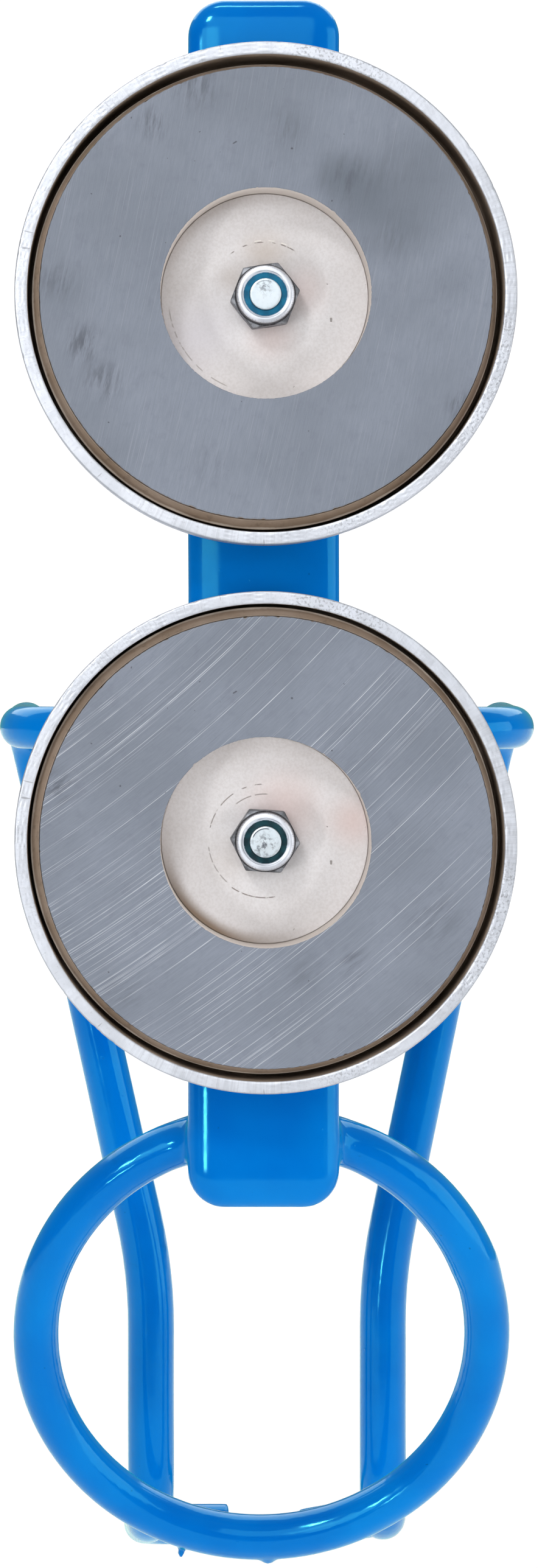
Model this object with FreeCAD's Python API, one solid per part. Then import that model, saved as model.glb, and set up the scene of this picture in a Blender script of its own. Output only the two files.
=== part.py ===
import FreeCAD, Part

import math
import os

# Magnetic wall holder: a flat steel strip with a tilted ring and a bent-rod cage welded to its
# front, all dipped in soft vinyl, and two pot magnets bolted to its back.
#
# Frame, in millimetres: the origin is the centre of the upper magnet's face, on the plane that
# grips a steel wall.  +Z runs up the strip, +Y leads away from the wall and +X is to the right
# as the magnets are seen.  "Depth" below is distance along +Y from the gripping plane.

Vector = FreeCAD.Vector
INTO_FRAME = Vector(0, 1, 0)
ACROSS = Vector(1, 0, 0)

# --- pot magnets ---------------------------------------------------------------------------
MAGNET_SPACING = 87.4
POT_OUTER_R = 40.0
POT_WALL = 2.0
POT_HEIGHT = 12.5
POT_FLOOR = 2.0
POT_BACK_EDGE_R = 3.0
POT_INSIDE_EDGE_R = 1.0
RIM_EDGE_R = 0.25
POT_HOLE_R = 3.3

FERRITE_OUTER_R = 36.1
FERRITE_INNER_R = 16.75
FERRITE_SET_BACK = 0.3
FERRITE_EDGE_R = 0.3

POTTING_OUTER_R = 37.6
POTTING_INNER_DEPTH = 0.9
POTTING_OUTER_DEPTH = 2.4

PLUG_CLEARANCE = 0.05
PLUG_THICKNESS = 2.2
PLUG_EDGE_R = 0.8
BOLT_RUNNING_CLEARANCE = 0.05

# --- M6 fasteners --------------------------------------------------------------------------
BOLT_R = 2.95
BOLT_LENGTH = 18.0
BOLT_TIP_CHAMFER = 0.45
HEX_ACROSS_FLATS = 9.8
HEAD_HEIGHT = 4.0
HEX_CHAMFER_ANGLE = 30.0
WASHER_OUTER_R = 6.0
WASHER_INNER_R = 3.2
WASHER_THICKNESS = 1.6
NUT_HEIGHT = 6.0
NUT_HEX_HEIGHT = 4.2
COLLAR_R = 4.7
COLLAR_CURL_R = 1.1
COLLAR_MOUTH_R = 3.25
INSERT_OUTER_R = 3.9
INSERT_THICKNESS = 1.6
INSERT_SET_BACK = 0.3
NUT_TURN = {"upper": 8.7, "lower": -3.5}

# --- strip ---------------------------------------------------------------------------------
STRIP_WIDTH = 22.2
STRIP_THICKNESS = 3.2
STRIP_TOP = 47.8
STRIP_BOTTOM = -146.4
STRIP_CORNER_R = 4.8
STRIP_COAT = 1.2
STRIP_COAT_EDGE_R = 2.2
STRIP_HOLE_R = 3.3

# --- rod work ------------------------------------------------------------------------------
ROD_R = 3.0
RING_R = 37.65
RING_TOP = -135.4
RING_TILT = 16.5
RING_COAT = 0.83

CAGE_BAR_Z = -69.7
CAGE_LEFT_X = -40.1
CAGE_RIGHT_X = 41.9
CAGE_REACH = 41.7
CAGE_KINK_Z = -166.0
CAGE_FOOT_Z = -208.9
LEFT_ROD_X = -18.6
RIGHT_ROD_X = 22.0
EAR_BEND_R = 10.0
SHOULDER_BEND_R = 9.0
KINK_BEND_R = 90.0
FOOT_BEND_R = 12.0

# The two free ends of the cage rod turn inwards in front of its foot.
TOE_REACH = 34.0
TOE_DROP = 9.3
TOE_SPREAD = 1.8
TOE_BEND_R = 7.0
LEFT_TOE_END_X = -5.1
RIGHT_TOE_END_X = 9.6
RIGHT_TOE_LIFT = 1.7
RIGHT_TOE_END_DROP = 0.9

# Vinyl runs down as it dries, so the coat is thin at the cage's bar and thick lower down.
BAR_COAT = 0.55
SHOULDER_COAT = 0.8
LOWER_ROD_COAT = 1.05
TOE_COAT = 0.65

# --- welds ---------------------------------------------------------------------------------
BEAD_R = 1.8
BEAD_OFFSET = 3.3
BEAD_RISE = 1.3
CAGE_BEAD_LENGTH = 18.0
RING_BEAD_LENGTH = 12.0
BEAD_COAT = 1.2

# --- planes, as depths ---------------------------------------------------------------------
FLOOR_FRONT = POT_HEIGHT - POT_FLOOR
PLUG_FRONT = FLOOR_FRONT - PLUG_THICKNESS
STRIP_BACK = POT_HEIGHT + STRIP_COAT
STRIP_FRONT = STRIP_BACK + STRIP_THICKNESS
COAT_FRONT = STRIP_FRONT + STRIP_COAT
HEAD_SEAT = COAT_FRONT + WASHER_THICKNESS
BOLT_TIP = HEAD_SEAT - BOLT_LENGTH
NUT_FRONT = PLUG_FRONT - NUT_HEIGHT
ROD_AXIS = STRIP_FRONT + ROD_R
CAGE_FRONT = ROD_AXIS + CAGE_REACH

MAGNET_Z = {"upper": 0.0, "lower": -MAGNET_SPACING}


def corner_arc(before, corner, after, radius):
    """The two tangent points and the centre of the arc that rounds a corner."""
    to_before = (before - corner).normalize()
    to_after = (after - corner).normalize()
    half_angle = to_before.getAngle(to_after) / 2
    reach = radius / math.tan(half_angle)
    inwards = (to_before + to_after).normalize()
    centre = corner + inwards * (radius / math.sin(half_angle))
    return corner + to_before * reach, corner + to_after * reach, centre


def rounded_outline(corners):
    """A closed wire through (point, radius) corners, each one rounded."""
    edges = []
    ends = []
    count = len(corners)
    for index, (corner, radius) in enumerate(corners):
        before = corners[index - 1][0]
        after = corners[(index + 1) % count][0]
        if radius == 0:
            ends.append((corner, corner))
            continue
        start, end, centre = corner_arc(before, corner, after, radius)
        middle = centre + (corner - centre).normalize() * radius
        edges.append(Part.Arc(start, middle, end).toShape())
        ends.append((start, end))
    for index in range(count):
        start = ends[index - 1][1]
        end = ends[index][0]
        if start.distanceToPoint(end) > 1e-6:
            edges.append(Part.LineSegment(start, end).toShape())
    return Part.Wire(Part.__sortEdges__(edges))


def turned(profile, z):
    """A solid of revolution about the bolt axis at height z, from (radius, depth, rounding)."""
    corners = [(Vector(radius, depth, 0), rounding) for radius, depth, rounding in profile]
    face = Part.Face(rounded_outline(corners))
    solid = face.revolve(Vector(0, 0, 0), INTO_FRAME, 360)
    solid.translate(Vector(0, 0, z))
    return solid


def disc(radius, depth, length, z):
    """A plain cylinder on the bolt axis at height z."""
    return Part.makeCylinder(radius, length, Vector(0, depth, z), INTO_FRAME)


def hexagon(depth, length, z, turn):
    """A hexagonal prism on the bolt axis at height z, with a corner turned from +X."""
    corner_r = HEX_ACROSS_FLATS / math.sqrt(3)
    points = []
    for index in range(7):
        angle = math.radians(turn + 60 * index)
        points.append(Vector(corner_r * math.cos(angle), depth, z + corner_r * math.sin(angle)))
    return Part.Face(Part.makePolygon(points)).extrude(INTO_FRAME * length)


def chamfered_hexagon(depth, length, z, turn, chamfer_front, chamfer_back):
    """A hexagon whose corners are cut back by cones, as on a turned nut or bolt head."""
    corner_r = HEX_ACROSS_FLATS / math.sqrt(3)
    flat_r = HEX_ACROSS_FLATS / 2
    cut = (corner_r - flat_r) * math.tan(math.radians(HEX_CHAMFER_ANGLE))
    front_r = flat_r if chamfer_front else corner_r
    back_r = flat_r if chamfer_back else corner_r
    profile = [(0, depth, 0), (front_r, depth, 0)]
    if chamfer_front:
        profile.append((corner_r, depth + cut, 0))
    if chamfer_back:
        profile.append((corner_r, depth + length - cut, 0))
    profile += [(back_r, depth + length, 0), (0, depth + length, 0)]
    return hexagon(depth, length, z, turn).common(turned(profile, z))


# --- magnet pieces -------------------------------------------------------------------------

def pot_cup(z):
    inner_r = POT_OUTER_R - POT_WALL
    profile = [
        (POT_OUTER_R, 0, RIM_EDGE_R),
        (POT_OUTER_R, POT_HEIGHT, POT_BACK_EDGE_R),
        (POT_HOLE_R, POT_HEIGHT, 0),
        (POT_HOLE_R, FLOOR_FRONT, 0),
        (inner_r, FLOOR_FRONT, POT_INSIDE_EDGE_R),
        (inner_r, 0, RIM_EDGE_R),
    ]
    return turned(profile, z)


def ferrite_ring(z):
    profile = [
        (FERRITE_OUTER_R, FERRITE_SET_BACK, FERRITE_EDGE_R),
        (FERRITE_OUTER_R, FLOOR_FRONT, 0),
        (FERRITE_INNER_R, FLOOR_FRONT, 0),
        (FERRITE_INNER_R, FERRITE_SET_BACK, FERRITE_EDGE_R),
    ]
    return turned(profile, z)


def potting_ring(z):
    """Resin that holds the ferrite, sloping down to the open slit inside the pot's wall."""
    foot_r = POT_OUTER_R - POT_WALL - POT_INSIDE_EDGE_R
    profile = [
        (FERRITE_OUTER_R, POTTING_INNER_DEPTH, 0),
        (POTTING_OUTER_R, POTTING_OUTER_DEPTH, RIM_EDGE_R),
        (POTTING_OUTER_R, FLOOR_FRONT - POT_INSIDE_EDGE_R, 0),
        (foot_r, FLOOR_FRONT, 0),
        (FERRITE_OUTER_R, FLOOR_FRONT, 0),
    ]
    return turned(profile, z)


def centre_plug(z):
    outer_r = FERRITE_INNER_R - PLUG_CLEARANCE
    bore_r = BOLT_R + BOLT_RUNNING_CLEARANCE
    profile = [
        (outer_r, PLUG_FRONT, PLUG_EDGE_R),
        (outer_r, FLOOR_FRONT, 0),
        (bore_r, FLOOR_FRONT, 0),
        (bore_r, PLUG_FRONT, 0),
    ]
    return turned(profile, z)


# --- fasteners -----------------------------------------------------------------------------

def bolt(z):
    head = chamfered_hexagon(HEAD_SEAT, HEAD_HEIGHT, z, 0, False, True)
    shank = turned([
        (0, BOLT_TIP, 0),
        (BOLT_R - BOLT_TIP_CHAMFER, BOLT_TIP, 0),
        (BOLT_R, BOLT_TIP + BOLT_TIP_CHAMFER, 0),
        (BOLT_R, HEAD_SEAT, 0),
        (0, HEAD_SEAT, 0),
    ], z)
    return head.fuse(shank).removeSplitter()


def head_washer(z):
    ring = disc(WASHER_OUTER_R, COAT_FRONT, WASHER_THICKNESS, z)
    return ring.cut(disc(WASHER_INNER_R, COAT_FRONT, WASHER_THICKNESS, z))


def lock_nut(z, turn):
    hex_front = PLUG_FRONT - NUT_HEX_HEIGHT
    body = chamfered_hexagon(hex_front, NUT_HEX_HEIGHT, z, turn, True, True)
    collar = turned([
        (0, NUT_FRONT, 0),
        (COLLAR_R, NUT_FRONT, COLLAR_CURL_R),
        (COLLAR_R, PLUG_FRONT, 0),
        (0, PLUG_FRONT, 0),
    ], z)
    pocket_front = NUT_FRONT + INSERT_SET_BACK
    body = body.fuse(collar).cut(disc(BOLT_R, NUT_FRONT, NUT_HEIGHT, z))
    body = body.cut(disc(INSERT_OUTER_R, pocket_front, INSERT_THICKNESS, z))
    return body.cut(disc(COLLAR_MOUTH_R, NUT_FRONT, INSERT_SET_BACK, z)).removeSplitter()


def nylon_insert(z):
    front = NUT_FRONT + INSERT_SET_BACK
    return disc(INSERT_OUTER_R, front, INSERT_THICKNESS, z).cut(
        disc(BOLT_R, front, INSERT_THICKNESS, z))


# --- steel frame ---------------------------------------------------------------------------

def strip_blank(margin):
    """The flat bar's outline, grown by margin all round, as one plate."""
    half = STRIP_WIDTH / 2 + margin
    top = STRIP_TOP + margin
    bottom = STRIP_BOTTOM - margin
    back = STRIP_BACK - margin
    outline = rounded_outline([
        (Vector(-half, back, bottom), STRIP_CORNER_R + margin),
        (Vector(half, back, bottom), STRIP_CORNER_R + margin),
        (Vector(half, back, top), STRIP_CORNER_R + margin),
        (Vector(-half, back, top), STRIP_CORNER_R + margin),
    ])
    return Part.Face(outline).extrude(INTO_FRAME * (STRIP_THICKNESS + 2 * margin))


def drill_bolt_holes(solid):
    for z in MAGNET_Z.values():
        solid = solid.cut(disc(STRIP_HOLE_R, POT_HEIGHT - 1, COAT_FRONT - POT_HEIGHT + 2, z))
    return solid


def tilted_ring(section_r):
    """The ring leans forwards from its top, where it touches the strip's front face."""
    tilt = math.radians(RING_TILT)
    down = Vector(0, math.sin(tilt), -math.cos(tilt))
    normal = Vector(0, math.cos(tilt), math.sin(tilt))
    centre = Vector(0, ROD_AXIS, RING_TOP) + down * RING_R
    return Part.makeTorus(RING_R, section_r, centre, normal)


def cage_route():
    """Corners of the cage rod from its left end to its right end: point, bend, coat."""
    toe_y = CAGE_FRONT + TOE_REACH
    toe_z = CAGE_FOOT_Z - TOE_DROP
    left_toe = Vector(LEFT_ROD_X - TOE_SPREAD, toe_y, toe_z)
    right_toe = Vector(RIGHT_ROD_X + TOE_SPREAD, toe_y, toe_z + RIGHT_TOE_LIFT)
    right_end = Vector(RIGHT_TOE_END_X, toe_y, toe_z - RIGHT_TOE_END_DROP)
    return [
        (Vector(LEFT_TOE_END_X, toe_y, toe_z), 0, TOE_COAT),
        (left_toe, TOE_BEND_R, TOE_COAT),
        (Vector(LEFT_ROD_X, CAGE_FRONT, CAGE_FOOT_Z), FOOT_BEND_R, LOWER_ROD_COAT),
        (Vector(LEFT_ROD_X, CAGE_FRONT, CAGE_KINK_Z), KINK_BEND_R, LOWER_ROD_COAT),
        (Vector(CAGE_LEFT_X, CAGE_FRONT, CAGE_BAR_Z), SHOULDER_BEND_R, SHOULDER_COAT),
        (Vector(CAGE_LEFT_X, ROD_AXIS, CAGE_BAR_Z), EAR_BEND_R, BAR_COAT),
        (Vector(CAGE_RIGHT_X, ROD_AXIS, CAGE_BAR_Z), EAR_BEND_R, BAR_COAT),
        (Vector(CAGE_RIGHT_X, CAGE_FRONT, CAGE_BAR_Z), SHOULDER_BEND_R, SHOULDER_COAT),
        (Vector(RIGHT_ROD_X, CAGE_FRONT, CAGE_KINK_Z), KINK_BEND_R, LOWER_ROD_COAT),
        (Vector(RIGHT_ROD_X, CAGE_FRONT, CAGE_FOOT_Z), FOOT_BEND_R, LOWER_ROD_COAT),
        (right_toe, TOE_BEND_R, TOE_COAT),
        (right_end, 0, TOE_COAT),
    ]


def straight_run(start, end, start_r, end_r):
    along = end - start
    if abs(start_r - end_r) < 1e-9:
        return Part.makeCylinder(start_r, along.Length, start, along)
    return Part.makeCone(start_r, end_r, along.Length, start, along)


def bend(start, centre, towards, turn, section_r):
    """A piece of a torus that starts at start and heads along towards."""
    axis = (start - centre).cross(towards).normalize()
    circle = Part.Circle(start, towards, section_r)
    face = Part.Face(Part.Wire(circle.toShape()))
    return face.revolve(centre, axis, turn)


def bent_rod(route, coated):
    """The cage rod as straight runs and bends, bare or with its coat."""
    section = [ROD_R + (coat if coated else 0) for _, _, coat in route]
    pieces = []
    last_point = route[0][0]
    for index in range(1, len(route) - 1):
        corner, radius, _ = route[index]
        before = route[index - 1][0]
        after = route[index + 1][0]
        start, end, centre = corner_arc(before, corner, after, radius)
        pieces.append(straight_run(last_point, start, section[index - 1], section[index]))
        towards = corner - start
        turn = math.degrees(towards.getAngle(after - corner))
        pieces.append(bend(start, centre, towards, turn, section[index]))
        last_point = end
    pieces.append(straight_run(last_point, route[-1][0], section[-2], section[-1]))
    if coated:
        pieces.append(Part.makeSphere(section[0], route[0][0]))
        pieces.append(Part.makeSphere(section[-1], route[-1][0]))
    return pieces[0].multiFuse(pieces[1:]).removeSplitter()


def bead_bars(z, length, radius):
    """Bars in the two grooves between a cross rod at height z and the strip's front face."""
    bars = []
    for side in (1, -1):
        base = Vector(-length / 2, STRIP_FRONT + BEAD_RISE, z + side * BEAD_OFFSET)
        bars.append(Part.makeCylinder(radius, length, base, ACROSS))
    return bars


def weld_beads(z, length, rod, strip):
    beads = [bar.cut(rod).cut(strip) for bar in bead_bars(z, length, BEAD_R)]
    return Part.makeCompound([bead.Solids[0] for bead in beads])


def vinyl_skin(steel):
    """One dipped skin: every steel piece grown by its coat, less the steel itself."""
    plate = strip_blank(STRIP_COAT)
    rim_edges = [edge for edge in plate.Edges
                 if abs(edge.CenterOfMass.y - POT_HEIGHT) < 1e-6
                 or abs(edge.CenterOfMass.y - COAT_FRONT) < 1e-6]
    plate = plate.makeFillet(STRIP_COAT_EDGE_R, rim_edges)
    web_r = BEAD_R + BEAD_COAT
    webs = bead_bars(CAGE_BAR_Z, CAGE_BEAD_LENGTH + 2 * BEAD_COAT, web_r)
    webs += bead_bars(RING_TOP, RING_BEAD_LENGTH + 2 * BEAD_COAT, web_r)
    grown = plate.multiFuse([tilted_ring(ROD_R + RING_COAT), bent_rod(cage_route(), True)] + webs)
    return drill_bolt_holes(grown.cut(steel))


def build():
    nodes = {}
    strip = drill_bolt_holes(strip_blank(0))
    ring = tilted_ring(ROD_R)
    cage = bent_rod(cage_route(), False)
    nodes["mounting_strip"] = strip
    nodes["ring_rod"] = ring
    nodes["cage_rod"] = cage
    nodes["ring_weld_beads"] = weld_beads(RING_TOP, RING_BEAD_LENGTH, ring, strip)
    nodes["cage_weld_beads"] = weld_beads(CAGE_BAR_Z, CAGE_BEAD_LENGTH, cage, strip)
    nodes["vinyl_skin"] = vinyl_skin(list(nodes.values()))
    for name, z in MAGNET_Z.items():
        nodes[name + "_pot_cup"] = pot_cup(z)
        nodes[name + "_ferrite_ring"] = ferrite_ring(z)
        nodes[name + "_potting_ring"] = potting_ring(z)
        nodes[name + "_centre_plug"] = centre_plug(z)
        nodes[name + "_bolt"] = bolt(z)
        nodes[name + "_head_washer"] = head_washer(z)
        nodes[name + "_lock_nut"] = lock_nut(z, NUT_TURN[name])
        nodes[name + "_nylon_insert"] = nylon_insert(z)
    return nodes


for node, shape in build().items():
    solids = shape.Solids
    valid = all(solid.isValid() for solid in solids)
    print(node, len(solids), "solid(s), valid", valid, "volume", round(shape.Volume, 1))
    if len(solids) == 1:
        shape = solids[0]
    shape.exportStep("parts/" + node + ".step")
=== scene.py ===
import math

import bmesh
import bpy
import numpy as np
import openvdb
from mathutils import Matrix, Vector


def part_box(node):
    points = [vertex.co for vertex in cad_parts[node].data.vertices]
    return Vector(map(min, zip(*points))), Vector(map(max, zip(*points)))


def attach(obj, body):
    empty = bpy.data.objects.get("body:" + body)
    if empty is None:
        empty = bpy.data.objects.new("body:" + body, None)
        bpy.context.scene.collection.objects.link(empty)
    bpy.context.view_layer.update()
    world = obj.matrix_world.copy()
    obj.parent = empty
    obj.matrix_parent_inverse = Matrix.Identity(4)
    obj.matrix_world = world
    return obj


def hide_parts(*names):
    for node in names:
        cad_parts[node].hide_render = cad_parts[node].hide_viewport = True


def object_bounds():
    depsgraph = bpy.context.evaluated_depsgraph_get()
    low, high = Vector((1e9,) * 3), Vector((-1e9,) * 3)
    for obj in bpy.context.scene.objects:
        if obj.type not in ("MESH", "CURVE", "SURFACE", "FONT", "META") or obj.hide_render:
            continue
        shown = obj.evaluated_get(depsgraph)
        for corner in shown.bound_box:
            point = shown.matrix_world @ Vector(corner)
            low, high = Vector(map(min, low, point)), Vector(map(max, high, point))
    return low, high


# Magnetic tool holder: the dipped vinyl skin, the two pot magnets and their fasteners, built in
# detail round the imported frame.  Sizes are in millimetres and are turned into metres as each mesh
# or pattern is made, except in the studio, which is in metres throughout.  "Depth" is distance
# along +Y from the plane that the magnets grip.  Both magnets have the same sizes.

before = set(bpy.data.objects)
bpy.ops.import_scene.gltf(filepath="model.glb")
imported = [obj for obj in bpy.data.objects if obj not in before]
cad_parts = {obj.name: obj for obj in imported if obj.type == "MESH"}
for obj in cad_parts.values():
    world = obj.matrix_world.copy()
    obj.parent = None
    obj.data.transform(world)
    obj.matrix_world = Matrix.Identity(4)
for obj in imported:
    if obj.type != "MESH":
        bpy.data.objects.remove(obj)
CAD_LOW, CAD_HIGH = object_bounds()

MM = 0.001


def node_box(name):
    low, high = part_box(name)
    return np.array(low) / MM, np.array(high) / MM


# --- sizes taken from the frame ------------------------------------------------------------
MAGNETS = ("upper", "lower")
_, CUP_HIGH = node_box("upper_pot_cup")
FERRITE_LOW, FERRITE_HIGH = node_box("upper_ferrite_ring")
RESIN_LOW, RESIN_HIGH = node_box("upper_potting_ring")
PLUG_LOW, PLUG_HIGH = node_box("upper_centre_plug")
BOLT_LOW, BOLT_HIGH = node_box("upper_bolt")
WASHER_LOW, WASHER_HIGH = node_box("upper_head_washer")
NUT_LOW, NUT_HIGH = node_box("upper_lock_nut")
INSERT_LOW, INSERT_HIGH = node_box("upper_nylon_insert")
STRIP_LOW, STRIP_HIGH = node_box("mounting_strip")
SKIN_LOW, SKIN_HIGH = node_box("vinyl_skin")
_, CAGE_HIGH = node_box("cage_rod")
RING_LOW, RING_HIGH = node_box("ring_rod")

CUP_R = CUP_HIGH[0]
CUP_HEIGHT = CUP_HIGH[1]
FERRITE_R = FERRITE_HIGH[0]
FERRITE_FACE = FERRITE_LOW[1]
FLOOR = FERRITE_HIGH[1]
RESIN_R = RESIN_HIGH[0]
RESIN_FACE = RESIN_LOW[1]
PLUG_R = PLUG_HIGH[0]
PLUG_FACE = PLUG_LOW[1]
ACROSS_FLATS = BOLT_HIGH[2] - BOLT_LOW[2]

# --- sizes that no box shows, as in the part's own source -----------------------------------
CUP_INNER_R = CUP_R - 2.0
HOLE_R = 3.3
FERRITE_HOLE_R = 16.75
WASHER_HOLE_R = 3.2
BOLT_R = 2.95
COLLAR_R = 4.7
COLLAR_MOUTH_R = 3.25
NUT_HEX_HEIGHT = 4.2


def magnet_z(which):
    low, high = node_box(which + "_pot_cup")
    return (low[2] + high[2]) / 2


# --- meshes --------------------------------------------------------------------------------

def shaded_object(name, points, faces, material, z=0.0):
    """A smooth mesh object from points in millimetres, standing at height z on the bolt axis."""
    mesh = bpy.data.meshes.new(name)
    mesh.from_pydata((np.asarray(points, float) * MM).tolist(), [], np.asarray(faces).tolist())
    build = bmesh.new()
    build.from_mesh(mesh)
    bmesh.ops.remove_doubles(build, verts=build.verts, dist=1e-7)
    bmesh.ops.recalc_face_normals(build, faces=build.faces)
    build.to_mesh(mesh)
    build.free()
    mesh.shade_smooth()
    mesh.materials.append(material)
    piece = bpy.data.objects.new(name, mesh)
    piece.location = (0, 0, z * MM)
    bpy.context.scene.collection.objects.link(piece)
    return piece


def stand_in_for(piece, body, slot, *nodes):
    """The piece moves with the body and is shown instead of the CAD nodes."""
    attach(piece, body)
    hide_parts(*nodes)


def unit(vector):
    return vector / np.linalg.norm(vector)


def ramp(value, start, end):
    """Runs straight from 0 to 1 as value goes from start to end."""
    return np.clip((value - start) / (end - start), 0, 1)


def section_arc(start, centre, end, steps):
    """Points on the shorter arc from start to end about centre."""
    first = start - centre
    last = end - centre
    cosine = np.dot(first, last) / (np.linalg.norm(first) * np.linalg.norm(last))
    sweep = math.acos(max(-1.0, min(1.0, cosine)))
    return [centre + (first * math.sin((1 - share) * sweep) + last * math.sin(share * sweep))
            / math.sin(sweep) for share in np.linspace(0, 1, steps + 1)]


def rounded_section(corners, arc_steps=6, front_gap=0.25, back_gap=4.0, front_depth=3.0):
    """A closed section from (radius, depth, rounding) corners, finely divided near the face."""
    outline = []
    for index, (radius, depth, rounding) in enumerate(corners):
        here = np.array([radius, depth], float)
        if rounding == 0:
            outline.append(here)
            continue
        before = unit(np.array(corners[index - 1][:2], float) - here)
        after = unit(np.array(corners[(index + 1) % len(corners)][:2], float) - here)
        half_angle = math.acos(np.dot(before, after)) / 2
        reach = rounding / math.tan(half_angle)
        centre = here + unit(before + after) * rounding / math.sin(half_angle)
        outline += section_arc(here + before * reach, centre, here + after * reach, arc_steps)
    points = []
    for index, start in enumerate(outline):
        end = outline[(index + 1) % len(outline)]
        length = np.linalg.norm(end - start)
        if length < 1e-6:
            continue
        near_face = max(start[1], end[1]) < front_depth
        count = max(1, math.ceil(length / (front_gap if near_face else back_gap)))
        points += [start + (end - start) * step / count for step in range(count)]
    return np.array(points)


def spun_ring(name, section, segments, material, z, shape=None):
    """A ring turned from a closed section; shape may move its points by radius, depth and angle."""
    angle = np.linspace(0, 2 * math.pi, segments, endpoint=False)[None, :]
    radius = np.repeat(section[:, :1], segments, axis=1)
    depth = np.repeat(section[:, 1:], segments, axis=1)
    if shape:
        radius, depth = shape(radius, depth, angle)
    points = np.stack([radius * np.cos(angle), depth, radius * np.sin(angle)], axis=-1)
    rows = len(section)
    row = np.arange(rows)[:, None]
    column = np.arange(segments)[None, :]
    next_row = (row + 1) % rows
    next_column = (column + 1) % segments
    faces = np.stack([row * segments + column, row * segments + next_column,
                      next_row * segments + next_column, next_row * segments + column], axis=-1)
    return shaded_object(name, points.reshape(-1, 3), faces.reshape(-1, 4), material, z)


def ripple(rng, angle, low, high, count):
    """A smooth seeded wave round the axis, about -1 to 1, from whole-number frequencies."""
    total = np.zeros_like(angle)
    for _ in range(count):
        total += np.sin(rng.integers(low, high) * angle + rng.uniform(0, 2 * math.pi))
    return total / math.sqrt(count)


def chips(rng, angle, count, widest, deepest):
    """Seeded chips round an edge, mostly small: how deep each angle is cut, in millimetres.

    The widest chip reaches that many degrees to each side of its middle.
    """
    depth = np.zeros_like(angle)
    for _ in range(count):
        middle = rng.uniform(0, 2 * math.pi)
        size = rng.uniform(0, 1) ** 4
        half_width = math.radians(widest) * (0.15 + 0.85 * size)
        away = np.abs((angle - middle + math.pi) % (2 * math.pi) - math.pi)
        bump = np.clip(1 - (away / half_width) ** 2, 0, 1)
        depth = np.maximum(depth, bump * deepest * (0.2 + 0.8 * size))
    return depth


def cut_corner(radius, depth, corner_r, corner_depth, inward, size):
    """Points nearer than size to a corner of a section are pushed back onto a slanting cut."""
    across = (corner_r - radius) * inward
    down = depth - corner_depth
    near = (across > -0.01) & (down > -0.01)
    missing = np.where(near, np.clip(size - (across + down), 0, None), 0) / 2
    return radius - inward * missing, depth + missing


# --- distance fields -----------------------------------------------------------------------

def field_mesh(distance, low, voxel):
    """Points and four-sided faces on the zero surface of a distance field."""
    grid = openvdb.FloatGrid(background=float(distance.max()))
    grid.copyFromArray(np.ascontiguousarray(distance, dtype=np.float32))
    points, faces = grid.convertToQuads(0.0)
    return points * voxel + low, faces


def lattice(low, high, voxel):
    """The sample points of a box, as three arrays that broadcast against each other."""
    axes = [np.arange(low[i], high[i] + voxel, voxel) for i in range(3)]
    return np.meshgrid(*axes, indexing="ij", sparse=True)


def soft_union(a, b, blend):
    """Joins two fields with a smooth fillet whose size follows blend."""
    share = np.clip(0.5 + 0.5 * (b - a) / blend, 0, 1)
    return b + (a - b) * share - blend * share * (1 - share)


def soft_cut(a, b, blend):
    """Keeps what is inside both fields, with its edge rounded."""
    return -soft_union(-a, -b, blend)


def steel_field(name, low, shape, voxel, reach):
    """Distance from a CAD node's surface on the lattice that starts at low."""
    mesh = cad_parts[name].data
    mesh.calc_loop_triangles()
    points = np.zeros(len(mesh.vertices) * 3, np.float32)
    mesh.vertices.foreach_get("co", points)
    triangles = np.zeros(len(mesh.loop_triangles) * 3, np.int32)
    mesh.loop_triangles.foreach_get("vertices", triangles)
    points = (points.reshape(-1, 3) / MM - low) / voxel
    grid = openvdb.FloatGrid.createLevelSetFromPolygons(
        points, triangles=triangles.reshape(-1, 3).astype(np.uint32),
        transform=openvdb.createLinearTransform(1.0), halfWidth=reach / voxel)
    values = np.full(shape, reach, np.float32)
    grid.copyToArray(values)
    return values * voxel


# --- node materials ------------------------------------------------------------------------

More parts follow.
